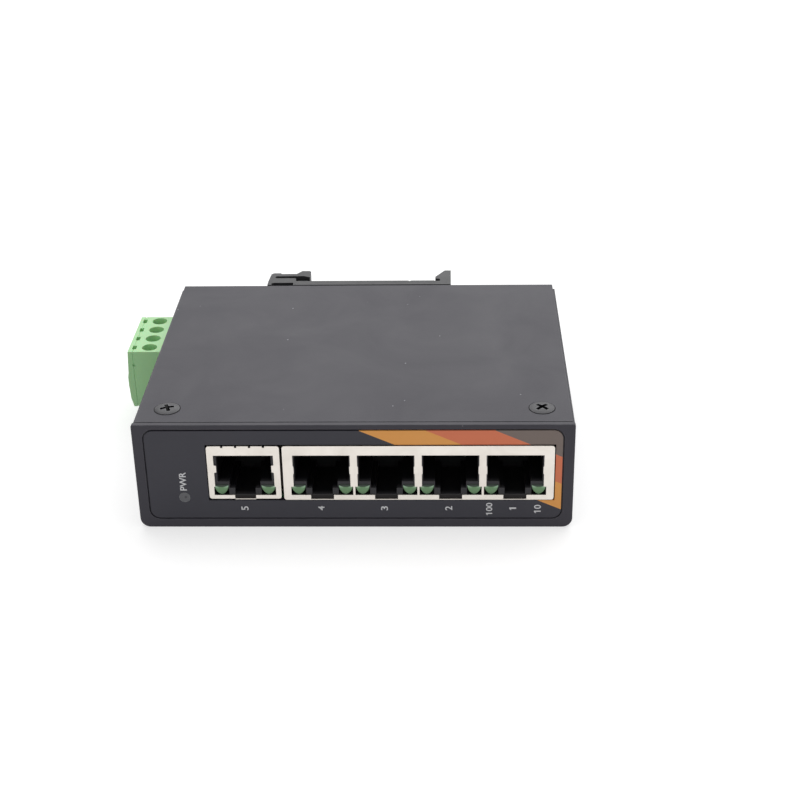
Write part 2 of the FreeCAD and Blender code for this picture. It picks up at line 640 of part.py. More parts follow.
def snap_windows():
    """Small windows in the plug's top across the parting plane, one a pole."""
    return [block(COVER_X - 0.4, COVER_X + 0.6, y - 1.0, y + 1.0, PLUG_Z1 - 1.8, PLUG_Z1 + 1) for y in POLE_Y]


def parting_groove():
    """Fine groove round the joint of housing and cover, with a pry notch on each side."""
    w = 0.12
    ring = block(COVER_X - w, COVER_X + w, PLUG_Y0 - 1, PLUG_Y1 + 1, PLUG_Z0 - 1, PLUG_Z1 + 1)
    core = block(COVER_X - 1, COVER_X + 1, PLUG_Y0 + w, PLUG_Y1 - w, PLUG_Z0 + w, PLUG_Z1 - w)
    notches = [block(COVER_X - 0.3, COVER_X + 0.3, y - 0.4, y + 0.4, 16.0, 16.7) for y in (PLUG_Y0, PLUG_Y1)]
    return [ring.cut(core)] + notches


def plug_housing():
    """Clamp section outside the case and the keyed nose that enters the header."""
    body = block(COVER_X, PLUG_X1, PLUG_Y0, PLUG_Y1, PLUG_Z0, PLUG_Z1)
    wall = HEADER_WALL + NOSE_GAP
    nose_y0, nose_y1 = POLE_MID_Y - HEADER_W / 2 + wall, POLE_MID_Y + HEADER_W / 2 - wall
    nose_z1 = BOARD_Z1 + HEADER_H - wall
    nose_x1 = -SIDE + CAVITY_DEPTH - 0.3
    pieces = [body, block(PLUG_X1 - 1, nose_x1, nose_y0, nose_y1, BOARD_Z1 + wall, nose_z1)]
    pieces += [block(PLUG_X1 - 1, nose_x1 - 1.2, y - 0.85, y + 0.85, nose_z1 - 0.2, nose_z1 + 0.4)
               for y in POLE_Y]
    cuts = snap_windows() + parting_groove()
    for y in POLE_Y:
        cuts.append(block(CLAMP_X - CHAMBER_HALF_L, CLAMP_X + CHAMBER_HALF_L, y - CHAMBER_HALF_W,
                          y + CHAMBER_HALF_W, CHAMBER_Z0, CHAMBER_Z1))
        cuts.append(rod(HEAD_BORE_R, (CLAMP_X, y, CHAMBER_Z1 - 0.1), (CLAMP_X, y, HEAD_BORE_Z1)))
        cuts.append(rod(TOP_HOLE_R, (CLAMP_X, y, HEAD_BORE_Z1 - 0.1), (CLAMP_X, y, PLUG_Z1 + 1)))
        cuts.append(block(COVER_X - 1, CLAMP_X, y - ENTRY_HALF_W, y + ENTRY_HALF_W, ENTRY_Z0, ENTRY_Z1))
        cuts.append(block(CLAMP_X, nose_x1 - 0.8, y - SOCKET / 2, y + SOCKET / 2,
                          PIN_Z - SOCKET_H / 2, PIN_Z + SOCKET_H / 2))
        cuts.append(block(CLAMP_X, nose_x1 + 1, y - 0.8, y + 0.8, PIN_Z - 0.8, PIN_Z + 0.8))
    return cut_all(joined(pieces), cuts)


def plug_entry_cover():
    """Snap-on front of the plug with a wire funnel for each pole."""
    side = [(COVER_X, PLUG_Z1), (PLUG_FACE_X + 0.5, PLUG_Z1), (PLUG_FACE_X + 0.2, 14.3), (PLUG_FACE_X, 13.1),
            (PLUG_FACE_X, 11.0), (PLUG_FACE_X + 0.25, 7.2), (PLUG_FACE_X + 0.8, PLUG_Z0), (COVER_X, PLUG_Z0)]
    cover = prism([(x, PLUG_Y0, z) for x, z in side], (0, PLUG_Y1 - PLUG_Y0, 0))
    cuts = snap_windows() + parting_groove()
    for y in POLE_Y:
        cuts.append(tapered_hole(PLUG_FACE_X - 0.1, COVER_X + 0.1, y,
                                 2.25, ENTRY_HALF_W, ENTRY_Z0, ENTRY_Z1, 0.5))
    return cut_all(cover, cuts)


def plug_contacts():
    """Clamping bar and spring socket of each pole, one bent strip."""
    nose_x1 = -SIDE + CAVITY_DEPTH - 0.3
    chamber_end = CLAMP_X + CHAMBER_HALF_L
    contacts = []
    for y in POLE_Y:
        bar = block(CLAMP_X - CHAMBER_HALF_L, chamber_end, y - BAR_HALF_W, y + BAR_HALF_W,
                    PIN_Z - BAR_T / 2, PIN_Z + BAR_T / 2)
        neck = block(chamber_end - 0.5, chamber_end + 1.2, y - SOCKET / 2, y + SOCKET / 2,
                     PIN_Z - BAR_T / 2, PIN_Z + BAR_T / 2)
        tube = block(chamber_end + 1.1, nose_x1 - 1.0, y - SOCKET / 2, y + SOCKET / 2,
                     PIN_Z - SOCKET_H / 2, PIN_Z + SOCKET_H / 2)
        bore = block(chamber_end + 2.0, nose_x1, y - SOCKET_BORE / 2, y + SOCKET_BORE / 2,
                     PIN_Z - SOCKET_BORE / 2, PIN_Z + SOCKET_BORE / 2)
        contacts.append(joined([bar, neck, tube]).cut(bore))
    return Part.makeCompound(contacts)


def clamp_cage(y):
    """Rising cage: a square loop round the bar, threaded in its roof."""
    x0, x1 = CLAMP_X - CAGE_HALF_L, CLAMP_X + CAGE_HALF_L
    outer = block(x0, x1, y - CAGE_HALF_W, y + CAGE_HALF_W, CAGE_Z0, CAGE_Z1)
    window = block(x0 - 1, x1 + 1, y - CAGE_HALF_W + CAGE_SIDE, y + CAGE_HALF_W - CAGE_SIDE,
                   CAGE_Z0 + CAGE_FLOOR, CAGE_Z1 - CAGE_ROOF)
    return cut_all(outer, [window, rod(THREAD_R, (CLAMP_X, y, CAGE_Z1 - 2), (CLAMP_X, y, CAGE_Z1 + 1))])


def clamp_screw(y, turn):
    """Slotted clamp screw, held in the housing, whose tip bears on the bar."""
    head_z0 = CHAMBER_Z1 + 0.1
    head_z1 = HEAD_BORE_Z1 - 0.15
    head = rod(HEAD_BORE_R - 0.08, (CLAMP_X, y, head_z0), (CLAMP_X, y, head_z1))
    shank = rod(SCREW_R, (CLAMP_X, y, PIN_Z + BAR_T / 2 + 0.1), (CLAMP_X, y, head_z0))
    slot = block(-3, 3, -0.35, 0.35, head_z1 - 0.9, head_z1 + 1)
    slot.rotate(Vector(0, 0, 0), Vector(0, 0, 1), turn)
    slot.translate(Vector(CLAMP_X, y, 0))
    return joined([head, shank]).cut(slot)


# ---- rail clip ----

def din_clip():
    """Moulded clip of one outline: fixed hook at +X, spring loop with its hook at -X."""
    clip = prism([(x, BACK + out, CLIP_Z0) for x, out in CLIP_OUTLINE], (0, 0, CLIP_Z1 - CLIP_Z0))
    clip = rounded(clip, CLIP_SLOT_R, (0, 0, 1),
                   lambda m: any(abs(m.x - x) + abs(m.y - BACK - out) < 0.01 for x, out in CLIP_SLOT_ENDS))
    return cut_all(clip, screw_sinks(CLIP_SCREWS, CLIP_SCREW_LEN, (0, 1, 0)))


def main():
    nodes = {
        "base_tray": base_tray(),
        "lid": lid(),
        "front_panel": front_panel(),
        "front_label": front_label(),
        "lid_screws": screw_group(LID_SCREWS, LID_SCREW_LEN, (0, 0, 1), (20, 45)),
        "single_jack_shield": single_jack_shield(),
        "single_jack_body": jack_body(SINGLE_X, SINGLE_HALF_W, (SINGLE_X,)),
        "single_jack_contacts": contact_set((SINGLE_X,)),
        "single_jack_lamps": lamp_set((SINGLE_X,)),
        "quad_jack_shield": quad_jack_shield(),
        "quad_jack_body": jack_body(QUAD_X, QUAD_HALF_W, QUAD_PORTS),
        "quad_jack_contacts": contact_set(QUAD_PORTS),
        "quad_jack_lamps": lamp_set(QUAD_PORTS),
        "power_light_pipe": power_light_pipe(),
        "power_led": power_led(),
        "circuit_board": circuit_board(),
        "board_standoffs": board_standoffs(),
        "board_screws": board_screws(),
        "switch_chip": chip(*SWITCH_CHIP, 12, 12, 1.0),
        "regulator": chip(*REGULATOR, 4, 0, 1.27),
        "crystal": crystal(),
        "choke": choke(),
        "input_capacitor": can(*INPUT_CAN),
        "output_capacitor": can(*OUTPUT_CAN),
        "surge_disc": surge_disc(),
        "input_diode": input_diode(),
        "power_header": power_header(),
        "header_pins": header_pins(),
        "plug_housing": plug_housing(),
        "plug_entry_cover": plug_entry_cover(),
        "plug_contacts": plug_contacts(),
        "din_clip": din_clip(),
        "clip_screws": screw_group(CLIP_SCREWS, CLIP_SCREW_LEN, (0, 1, 0), (30, 65)),
    }
    for number, x in enumerate((SINGLE_X,) + QUAD_PORTS):
        nodes["magnetics_%d" % (5 - number)] = chip(x, MAGNETICS_Y, *MAGNETICS, 5, 0, 2.0)
    for number, (y, turn) in enumerate(zip(POLE_Y, (25, 80, 140, 60)), start=1):
        nodes["clamp_cage_%d" % number] = clamp_cage(y)
        nodes["clamp_screw_%d" % number] = clamp_screw(y, turn)
    os.makedirs("parts", exist_ok=True)
    triangles = 0
    for name, shape in nodes.items():
        shape.exportStep("parts/%s.step" % name)
        triangles += len(shape.tessellate(0.05)[1])
    print(len(nodes), "nodes,", triangles, "triangles")


main()
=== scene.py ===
"""Looks of a five-port rail-mount switch: finishes, label print, lamp lenses, light and camera."""
import json
import math

import bmesh
import bpy
from mathutils import Matrix, Vector


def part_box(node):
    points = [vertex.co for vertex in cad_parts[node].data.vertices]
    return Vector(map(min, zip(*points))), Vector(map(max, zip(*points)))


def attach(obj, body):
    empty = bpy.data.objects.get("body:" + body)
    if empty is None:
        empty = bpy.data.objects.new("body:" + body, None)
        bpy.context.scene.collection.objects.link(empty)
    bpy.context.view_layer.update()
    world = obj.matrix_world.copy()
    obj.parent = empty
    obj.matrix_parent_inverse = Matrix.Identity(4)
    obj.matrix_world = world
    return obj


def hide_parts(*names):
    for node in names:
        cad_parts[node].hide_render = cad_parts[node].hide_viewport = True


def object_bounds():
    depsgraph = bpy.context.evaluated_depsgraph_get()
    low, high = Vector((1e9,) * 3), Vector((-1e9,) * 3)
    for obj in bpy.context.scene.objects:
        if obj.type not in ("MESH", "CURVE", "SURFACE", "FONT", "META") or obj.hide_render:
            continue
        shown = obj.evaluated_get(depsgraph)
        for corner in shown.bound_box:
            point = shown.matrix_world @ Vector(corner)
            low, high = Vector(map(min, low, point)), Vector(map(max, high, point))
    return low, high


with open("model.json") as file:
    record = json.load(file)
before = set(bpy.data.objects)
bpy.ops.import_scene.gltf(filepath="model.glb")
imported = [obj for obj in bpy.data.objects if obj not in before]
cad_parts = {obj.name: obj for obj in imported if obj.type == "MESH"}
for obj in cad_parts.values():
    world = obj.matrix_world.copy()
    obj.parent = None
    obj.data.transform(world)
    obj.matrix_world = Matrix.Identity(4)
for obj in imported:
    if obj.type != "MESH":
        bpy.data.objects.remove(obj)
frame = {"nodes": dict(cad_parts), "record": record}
cad_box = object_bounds()

MM = 0.001
nodes = frame["nodes"]
JACK_FRONT_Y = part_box("quad_jack_body")[0].y
SHIELD_FRONT_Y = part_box("quad_jack_shield")[0].y
GREY_FACE_FOOT = 8.3 * MM       # where the jacks' grey front faces give way to painted dark shade in the latch slots below
PIPE_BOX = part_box("power_light_pipe")
DIE_ASIDE = 0.25 * MM           # how far the power lamp's die shows right of its pipe's middle
DIE_DROP = 0.2 * MM             # and below it
LAMP_DIE_PLACE = ((PIPE_BOX[0].x + PIPE_BOX[1].x) / 2 + DIE_ASIDE, PIPE_BOX[0].y,
                  (PIPE_BOX[0].z + PIPE_BOX[1].z) / 2 - DIE_DROP)


# ---------------------------------------------------------------- objects and node trees

def placed(name, data):
    """A new object of the scene that shows the data."""
    made = bpy.data.objects.new(name, data)
    bpy.context.scene.collection.objects.link(made)
    return made


def empty_tree(owner):
    """The cleared node tree of a material or world."""
    owner.use_nodes = True
    owner.node_tree.nodes.clear()
    return owner.node_tree


def add_node(tree, kind, wires=None, **settings):
    """A shader node; wires fills its inputs by name or number with a socket or a plain value."""
    made = tree.nodes.new(kind)
    for key, value in settings.items():
        setattr(made, key, value)
    for key, value in (wires or {}).items():
        if isinstance(value, bpy.types.NodeSocket):
            tree.links.new(value, made.inputs[key])
        else:
            made.inputs[key].default_value = value
    return made


def math_node(tree, operation, first, second=0.0, third=0.0, clamp=False):
    wires = {0: first, 1: second, 2: third}
    return add_node(tree, "ShaderNodeMath", wires, operation=operation, use_clamp=clamp).outputs[0]


def remap(tree, value, low, high, to_low=0.0, to_high=1.0):
    """Turns the range low..high into to_low..to_high and keeps within it."""
    wires = {"Value": value, "From Min": low, "From Max": high, "To Min": to_low, "To Max": to_high}
    return add_node(tree, "ShaderNodeMapRange", wires).outputs["Result"]


def object_place(tree):
    """Where the shaded point lies in its object's own coordinates."""
    return add_node(tree, "ShaderNodeTexCoord").outputs["Object"]


def parts_of(tree, vector):
    """The X, Y and Z outputs of a vector."""
    return add_node(tree, "ShaderNodeSeparateXYZ", {"Vector": vector}).outputs


def mix_colour(tree, factor, first, second):
    """The first colour where the factor is 0 and the second where it is 1."""
    made = tree.nodes.new("ShaderNodeMix")
    made.data_type = "RGBA"
    for socket, value in ((made.inputs[0], factor), (made.inputs[6], first), (made.inputs[7], second)):
        if isinstance(value, bpy.types.NodeSocket):
            tree.links.new(value, socket)
        elif hasattr(value, "__len__"):
            socket.default_value = (*value[:3], 1.0)
        else:
            socket.default_value = value
    return made.outputs[2]


def laid_over(tree, base, mask, strength, colour):
    """The base with a colour over it where the mask shows, by strength at most."""
    return mix_colour(tree, math_node(tree, "MULTIPLY", mask, strength), base, colour)


def new_group(name, inputs, outputs):
    """Empty shader node group with named number inputs and named outputs."""
    tree = bpy.data.node_groups.new(name, "ShaderNodeTree")
    for label, start in inputs.items():
        socket = tree.interface.new_socket(label, in_out="INPUT", socket_type="NodeSocketFloat")
        socket.default_value = start
    for label in outputs:
        tree.interface.new_socket(label, in_out="OUTPUT", socket_type="NodeSocketFloat")
    return tree, tree.nodes.new("NodeGroupInput").outputs, tree.nodes.new("NodeGroupOutput").inputs


def place_group(tree, group, **values):
    """Puts a node group into a material; values names its inputs with _ for spaces."""
    wires = {key.replace("_", " "): value for key, value in values.items()}
    return add_node(tree, "ShaderNodeGroup", wires, node_tree=group).outputs


# ---------------------------------------------------------------- effects that several finishes share

MOTTLE_SCALE = 0.02             # scale of the broad mottle as a share of the grain's
WEAR_AND_HIGHLIGHT_STARTS = 0.995              # cosine between rounded and plain normal where an edge begins to be rubbed and painted as a highlight
WEAR_AND_HIGHLIGHT_FULL = 0.86                 # and where it is rubbed and painted all through
WEAR_AND_HIGHLIGHT_PATCHES = 420.0             # scale of the patches that break up the rub and the painted highlight


def make_coat_grain():
    """Fine lumps of a sprayed or moulded skin. Size is the lumps' width in metres."""
    tree, given, out = new_group("coat_grain", {"Size": 0.4 * MM, "Softness": 0.5}, ["Height", "Mottle"])
    place = object_place(tree)
    scale = math_node(tree, "DIVIDE", 1.0, given["Size"])
    fine = add_node(tree, "ShaderNodeTexNoise",
                    {"Vector": place, "Scale": scale, "Detail": 2.0, "Roughness": given["Softness"]})
    broad_scale = math_node(tree, "MULTIPLY", scale, MOTTLE_SCALE)
    broad = add_node(tree, "ShaderNodeTexNoise", {"Vector": place, "Scale": broad_scale, "Detail": 4.0})
    tree.links.new(fine.outputs["Fac"], out["Height"])
    tree.links.new(remap(tree, broad.outputs["Fac"], 0.3, 0.7), out["Mottle"])
    return tree


def make_wear_and_highlight_edges():
    """Mask of corners that are rubbed and painted pale as highlights. Reach is how far it spreads from an
    edge, in metres.
    """
    tree, given, out = new_group("wear_and_highlight_edges", {"Reach": 0.3 * MM, "Patchiness": 0.5}, ["Mask"])
    rounded = add_node(tree, "ShaderNodeBevel", {"Radius": given["Reach"]}, samples=6)
    plain = add_node(tree, "ShaderNodeNewGeometry")
    match = add_node(tree, "ShaderNodeVectorMath",
                     {0: rounded.outputs["Normal"], 1: plain.outputs["Normal"]}, operation="DOT_PRODUCT")
    # the corner mask stands for rubbed edges and for painted highlights where edges catch light
    corner = remap(tree, match.outputs["Value"], WEAR_AND_HIGHLIGHT_STARTS, WEAR_AND_HIGHLIGHT_FULL)
    patches = add_node(tree, "ShaderNodeTexNoise",
                       {"Vector": object_place(tree), "Scale": WEAR_AND_HIGHLIGHT_PATCHES, "Detail": 5.0})
    broken = remap(tree, patches.outputs["Fac"], 0.62, 0.36)
    kept = math_node(tree, "SUBTRACT", 1.0, math_node(tree, "MULTIPLY", broken, given["Patchiness"]))
    tree.links.new(math_node(tree, "MULTIPLY", corner, kept, clamp=True), out["Mask"])
    return tree


def make_dust_specks():
    """Mask of small pale specks that lie mostly on faces turned up. Spacing is in metres."""
    starts = {"Spacing": 4.0 * MM, "Speck Size": 0.03, "Share": 0.4, "Upright Share": 0.25}
    tree, given, out = new_group("dust_specks", starts, ["Mask"])
    scale = math_node(tree, "DIVIDE", 1.0, given["Spacing"])
    cells = add_node(tree, "ShaderNodeTexVoronoi", {"Vector": object_place(tree), "Scale": scale})
    chance = add_node(tree, "ShaderNodeSeparateColor", {"Color": cells.outputs["Color"]})
    spread = remap(tree, chance.outputs["Green"], 0, 1, 0.3, 1.0)
    size = math_node(tree, "MULTIPLY", given["Speck Size"], spread)
    inside = math_node(tree, "LESS_THAN", cells.outputs["Distance"], size)
    chosen = math_node(tree, "LESS_THAN", chance.outputs["Red"], given["Share"])
    normal = parts_of(tree, add_node(tree, "ShaderNodeNewGeometry").outputs["Normal"])
    upward = remap(tree, normal["Z"], -0.2, 0.8, given["Upright Share"], 1.0)
    shown = math_node(tree, "MULTIPLY", math_node(tree, "MULTIPLY", inside, chosen), upward)
    tree.links.new(shown, out["Mask"])
    return tree


def make_handling_smudge():
    """Mask of broad soft patches, as handling leaves. Size is their width in metres."""
    tree, given, out = new_group("handling_smudge", {"Size": 20.0 * MM, "Contrast": 0.5}, ["Mask"])
    scale = math_node(tree, "DIVIDE", 1.0, given["Size"])
    wires = {"Vector": object_place(tree), "Scale": scale, "Detail": 6.0, "Roughness": 0.62,
             "Distortion": 0.8}
    cloud = add_node(tree, "ShaderNodeTexNoise", wires)
    half = math_node(tree, "MULTIPLY", given["Contrast"], 0.5)
    low = math_node(tree, "SUBTRACT", half, 0.02)
    high = math_node(tree, "SUBTRACT", 1.02, half)
    tree.links.new(remap(tree, cloud.outputs["Fac"], low, high), out["Mask"])
    return tree


def make_rolled_streaks():
    """Fine lines along X, as rolling leaves. Size is their width in metres; Stretch makes them long."""
    tree, given, out = new_group("rolled_streaks", {"Size": 0.1 * MM, "Stretch": 0.03}, ["Height"])
    scale = math_node(tree, "DIVIDE", 1.0, given["Size"])
    long_scale = math_node(tree, "MULTIPLY", scale, given["Stretch"])
    each = add_node(tree, "ShaderNodeCombineXYZ", {"X": long_scale, "Y": scale, "Z": scale})
    spread = add_node(tree, "ShaderNodeVectorMath",
                      {0: object_place(tree), 1: each.outputs["Vector"]}, operation="MULTIPLY")
    lines = add_node(tree, "ShaderNodeTexNoise",
                     {"Vector": spread.outputs["Vector"], "Scale": 1.0, "Detail": 2.0})
    tree.links.new(lines.outputs["Fac"], out["Height"])
    return tree


def make_slanted_field():
    """Mask of the print right of a slanting line. Start is the line's height at X zero, in metres."""
    starts = {"Start": 30.0 * MM, "Lean": 0.45, "Softness": 0.04 * MM}
    tree, given, out = new_group("slanted_field", starts, ["Mask"])
    place = parts_of(tree, object_place(tree))
    along = math_node(tree, "MULTIPLY_ADD", place["X"], given["Lean"], place["Z"])
    past = math_node(tree, "SUBTRACT", along, given["Start"])
    share = math_node(tree, "DIVIDE", past, given["Softness"])
    tree.links.new(math_node(tree, "ADD", share, 0.5, clamp=True), out["Mask"])
    return tree


COAT_GRAIN = make_coat_grain()
WEAR_AND_HIGHLIGHT_EDGES = make_wear_and_highlight_edges()
DUST_SPECKS = make_dust_specks()
HANDLING_SMUDGE = make_handling_smudge()
ROLLED_STREAKS = make_rolled_streaks()
SLANTED_FIELD = make_slanted_field()


# ---------------------------------------------------------------- finishes

DUST_GREY = (0.5, 0.5, 0.5)
# Fields of the label's print from left to right: where each starts along the slant, and its ink.
PRINTED_FIELDS = ((24.78 * MM, (0.90, 0.405, 0.105)),
                  (31.25 * MM, (0.79, 0.22, 0.11)),
                  (37.92 * MM, (0.215, 0.17, 0.15)))
BRIM_LOW = 0.82 * MM            # height of a lens's brim above its origin, at its middle; the painted shadow lies above the brim
BRIM_RISE = 150.0               # how fast the brim rises with the square of the way out
SCATTER_REACH = 1.5 * MM        # how far light spreads inside a milky plastic
WEAR_AND_HIGHLIGHT_GAIN = 1.12              # how much brighter a metal is where its edges are rubbed and painted as highlights


def new_material(name):
    """A material with one Principled shader; returns material, tree and shader."""
    material = bpy.data.materials.new(name)
    tree = empty_tree(material)
    shader = tree.nodes.new("ShaderNodeBsdfPrincipled")
    output = tree.nodes.new("ShaderNodeOutputMaterial")
    tree.links.new(shader.outputs["BSDF"], output.inputs["Surface"])
    return material, tree, shader


def surface(tree, shader, colour, rough_mask, rough_at_0, rough_at_1, gloss=0.5):
    """The shader's colour and gloss, and its roughness as the mask goes from 0 to 1."""
    tree.links.new(colour, shader.inputs["Base Color"])
    rough = remap(tree, rough_mask, 0, 1, rough_at_0, rough_at_1)
    tree.links.new(rough, shader.inputs["Roughness"])
    shader.inputs["Specular IOR Level"].default_value = gloss


def bump(tree, shader, height, depth, strength, rolled=0.0):
    """Relief from a height; rolled is the radius in metres by which edges look rounded."""
    made = add_node(tree, "ShaderNodeBump", {"Height": height, "Distance": depth, "Strength": strength})
    if rolled:
        edge = add_node(tree, "ShaderNodeBevel", {"Radius": rolled}, samples=6)
        tree.links.new(edge.outputs["Normal"], made.inputs["Normal"])
    tree.links.new(made.outputs["Normal"], shader.inputs["Normal"])


def powder_coat():
    """Charcoal coat of the sheet steel: fine grain, edges paler where rubbed and as a painted highlight,
    dust and soft patches.
    """
    material, tree, shader = new_material("charcoal_powder_coat")
    grain = place_group(tree, COAT_GRAIN, Size=0.35 * MM, Softness=0.6)
    wear_and_highlight = place_group(tree, WEAR_AND_HIGHLIGHT_EDGES, Reach=0.35 * MM, Patchiness=0.8)
    dust = place_group(tree, DUST_SPECKS, Spacing=2.6 * MM, Speck_Size=0.07, Share=0.25, Upright_Share=0.45)
    smudge = place_group(tree, HANDLING_SMUDGE, Size=22.0 * MM, Contrast=0.6)
    colour = mix_colour(tree, grain["Mottle"], (0.0335, 0.0315, 0.042), (0.039, 0.0365, 0.0475))
    # edges paler where rubbed, and as a painted highlight where light catches them
    colour = laid_over(tree, colour, wear_and_highlight["Mask"], 0.85, (0.11, 0.108, 0.12))
    colour = laid_over(tree, colour, dust["Mask"], 0.6, (0.5, 0.5, 0.54))
    surface(tree, shader, colour, smudge["Mask"], 0.46, 0.56, gloss=0.36)
    bump(tree, shader, grain["Height"], depth=0.03 * MM, strength=0.6)
    return material


def printed_label():
    """Dark film with slanting fields of ink at its right."""
    material, tree, shader = new_material("printed_label_film")
    grain = place_group(tree, COAT_GRAIN, Size=0.5 * MM, Softness=0.5)
    dust = place_group(tree, DUST_SPECKS, Spacing=7.0 * MM, Speck_Size=0.03, Share=0.3)
    smudge = place_group(tree, HANDLING_SMUDGE, Size=15.0 * MM, Contrast=0.7)
    colour = mix_colour(tree, grain["Mottle"], (0.0335, 0.0325, 0.044), (0.0385, 0.0375, 0.0495))
    for start, ink in PRINTED_FIELDS:
        field = place_group(tree, SLANTED_FIELD, Start=start)
        colour = mix_colour(tree, field["Mask"], colour, ink)
    colour = laid_over(tree, colour, dust["Mask"], 0.5, DUST_GREY)
    surface(tree, shader, colour, smudge["Mask"], 0.36, 0.46, gloss=0.35)
    bump(tree, shader, grain["Height"], depth=0.01 * MM, strength=0.5)
    return material


def moulded_plastic(name, low, high, edge_wear_and_highlight, rough, grain_size, depth, speck_share=0.15, gloss=0.5, milky=0.0):
    """Injection-moulded plastic from low to high in colour, with edges paler where rubbed and as a painted
    highlight, and a little dust.
    """
    material, tree, shader = new_material(name)
    grain = place_group(tree, COAT_GRAIN, Size=grain_size, Softness=0.5)
    wear_and_highlight = place_group(tree, WEAR_AND_HIGHLIGHT_EDGES, Reach=0.2 * MM, Patchiness=0.5)
    dust = place_group(tree, DUST_SPECKS, Spacing=4.0 * MM, Speck_Size=0.03, Share=speck_share)
    smudge = place_group(tree, HANDLING_SMUDGE, Size=8.0 * MM, Contrast=0.6)
    colour = mix_colour(tree, grain["Mottle"], low, high)
    # edges paler where rubbed, and as a painted highlight
    colour = laid_over(tree, colour, wear_and_highlight["Mask"], 0.45, edge_wear_and_highlight)
    colour = laid_over(tree, colour, dust["Mask"], 0.35, DUST_GREY)
    surface(tree, shader, colour, smudge["Mask"], rough - 0.06, rough + 0.06, gloss)
    bump(tree, shader, grain["Height"], depth, strength=0.5)
    if milky:
        shader.inputs["Subsurface Weight"].default_value = milky
        shader.inputs["Subsurface Scale"].default_value = SCATTER_REACH
    return material


def jack_plastic():
    """Black moulded plastic of the jacks: dark grey on the front faces beside and above the lamps, with
    painted shade that turns it near black deeper into the mouths and dark brown in the latch slots.
    """
    material, tree, shader = new_material("black_jack_plastic")
    grain = place_group(tree, COAT_GRAIN, Size=0.5 * MM, Softness=0.5)
    smudge = place_group(tree, HANDLING_SMUDGE, Size=4.0 * MM, Contrast=0.6)
    place = parts_of(tree, object_place(tree))
    # painted shade: the plastic turns near black deeper into the jack's mouths
    front_of_painted_mouth_shade = remap(tree, place["Y"], JACK_FRONT_Y + 1.6 * MM, JACK_FRONT_Y + 0.2 * MM)
    above_painted_slot_shade = remap(tree, place["Z"], GREY_FACE_FOOT - 0.2 * MM, GREY_FACE_FOOT + 0.2 * MM)
    # painted shade: dark brown in the latch slots below the grey faces
    face = mix_colour(tree, above_painted_slot_shade, (0.0045, 0.0025, 0.0025), (0.04, 0.039, 0.043))
    colour = mix_colour(tree, grain["Mottle"], (0.002, 0.002, 0.003), (0.004, 0.004, 0.005))
    colour = mix_colour(tree, front_of_painted_mouth_shade, colour, face)
    surface(tree, shader, colour, smudge["Mask"], 0.42, 0.56, gloss=0.25)
    bump(tree, shader, grain["Height"], depth=0.01 * MM, strength=0.5)
    return material


def bare_metal(name, low, high, rough, streak_depth, rolled=0.0):
    """Plated metal from low to high in colour, with faint streaks, dull patches and edges brighter where
    rubbed and as a painted highlight.
    """
    material, tree, shader = new_material(name)
    streaks = place_group(tree, ROLLED_STREAKS, Size=0.12 * MM)
    wear_and_highlight = place_group(tree, WEAR_AND_HIGHLIGHT_EDGES, Reach=0.15 * MM, Patchiness=0.4)
    smudge = place_group(tree, HANDLING_SMUDGE, Size=6.0 * MM, Contrast=0.7)
    colour = mix_colour(tree, smudge["Mask"], low, high)
    # edges brighter where rubbed, and as a painted highlight
    bright = tuple(min(1.0, share * WEAR_AND_HIGHLIGHT_GAIN) for share in high)
    colour = laid_over(tree, colour, wear_and_highlight["Mask"], 0.6, bright)
    surface(tree, shader, colour, smudge["Mask"], rough + 0.07, rough - 0.05)
    shader.inputs["Metallic"].default_value = 1.0
    bump(tree, shader, streaks["Height"], streak_depth, strength=0.4, rolled=rolled)
    return material


def black_oxide():
    """Blackened screws: heads dark grey, paler at their rims where rubbed and as a painted highlight; steep
    sides of the heads and recesses painted near black as shade.
    """
    material, tree, shader = new_material("black_oxide_screw")
    grain = place_group(tree, COAT_GRAIN, Size=0.2 * MM, Softness=0.5)
    wear_and_highlight = place_group(tree, WEAR_AND_HIGHLIGHT_EDGES, Reach=0.4 * MM, Patchiness=0.9)
    normal = parts_of(tree, add_node(tree, "ShaderNodeNewGeometry").outputs["Normal"])
    # painted shade: steep sides of the head and of its recess turn near black
    flank = remap(tree, math_node(tree, "ABSOLUTE", normal["Z"]), 0.85, 0.6)
    colour = mix_colour(tree, grain["Mottle"], (0.02, 0.0195, 0.0245), (0.028, 0.027, 0.032))
    # rims paler where rubbed, and as a painted highlight
    colour = laid_over(tree, colour, wear_and_highlight["Mask"], 0.8, (0.24, 0.24, 0.26))
    colour = mix_colour(tree, flank, colour, (0.003, 0.003, 0.004))
    surface(tree, shader, colour, grain["Mottle"], 0.34, 0.44, gloss=0.45)
    bump(tree, shader, grain["Height"], depth=0.008 * MM, strength=0.5)
    return material


